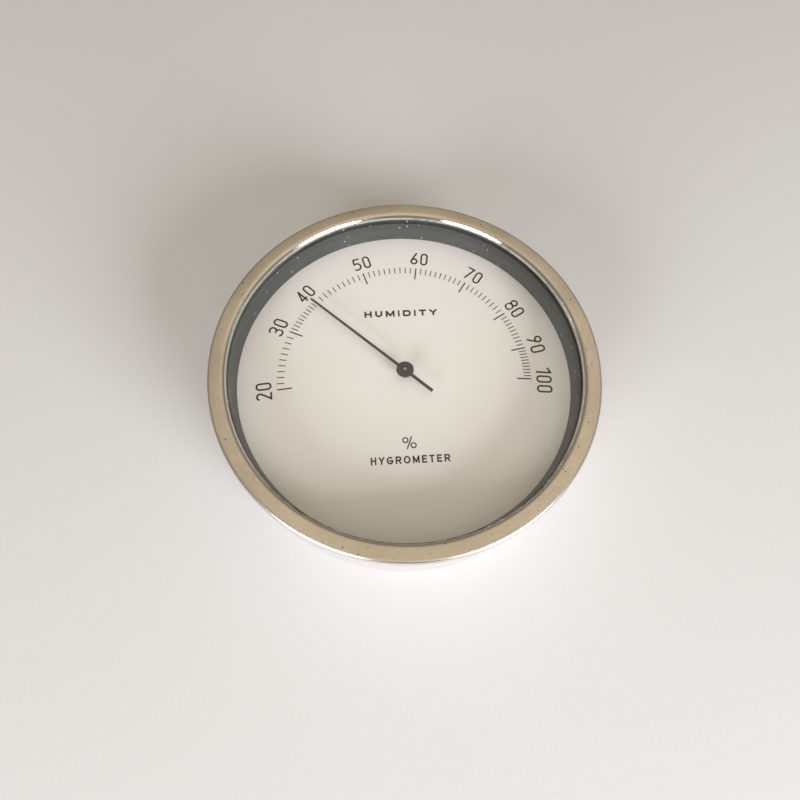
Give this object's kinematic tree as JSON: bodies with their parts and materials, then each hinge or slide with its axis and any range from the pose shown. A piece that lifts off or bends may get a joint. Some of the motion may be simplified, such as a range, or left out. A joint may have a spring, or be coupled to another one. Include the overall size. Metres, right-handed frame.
{
  "type": "dial hygrometer",
  "caption": "Round wall hygrometer in a drawn metal case, with a glass front, a percent dial, a slim pointer and a vented rear cover with a keyhole.",
  "frame": {"origin": "centre of the rear rim's plane, on the case's axis; the object rests there when it lies on its back", "axes": "+Z out of the dial along the pointer's arbor, +Y to the dial's twelve o'clock, +X to its right"},
  "size_m": [0.13, 0.13, 0.034],
  "materials": {
    "case_metal": "satin face, polished side and lip",
    "gasket_rubber": "matt",
    "clear_glass": "polished",
    "spacer_plastic": "matt",
    "dial_paint": "satin white",
    "dial_ink": "screen-printed ink",
    "black_plastic": "moulded",
    "plated_steel": "nickel plated",
    "cover_paint": "fine textured black",
    "brass": "machined",
    "coil_strip": "copper strip with a moisture-sensitive backing",
    "pointer_paint": "matt black"
  },
  "bodies": {
    "case": {"case_shell": "case_metal", "glass_gasket": "gasket_rubber", "front_glass": "clear_glass", "spacer_ring": "spacer_plastic", "dial_plate": "dial_paint", "dial_print": "dial_ink", "clamp_ring": "black_plastic", "cover_lugs": "plated_steel", "rear_cover": "cover_paint", "cover_screws": "plated_steel", "dial_feet": "brass", "foot_nuts": "brass", "front_plate": "brass", "front_bearing": "plated_steel", "plate_screws": "plated_steel", "pillars": "brass", "rear_bridge": "brass", "bridge_screws": "plated_steel", "friction_washer": "plated_steel"},
    "regulator": {"regulator_bush": "plated_steel", "regulator_arm": "brass", "coil_stud": "plated_steel", "humidity_coil": "coil_strip"},
    "pointer": {"arbor": "plated_steel", "arbor_collar": "brass", "coil_collet": "brass", "pointer_bush": "brass", "pointer_blade": "pointer_paint", "pointer_hub": "pointer_paint"}
  },
  "joints": [
    {"name": "regulator_turn", "type": "hinge", "parent": "case", "child": "regulator", "pos_m": [0, 0, 0.0083], "axis": [0, 0, 1], "range_deg": [-20, 20]},
    {"name": "pointer_turn", "type": "hinge", "parent": "regulator", "child": "pointer", "pos_m": [0, 0, 0.02], "axis": [0, 0, 1], "range_deg": [-146, 53], "stiffness_Nm_per_rad": 0.00002, "deforming": ["humidity_coil"]}
  ]
}
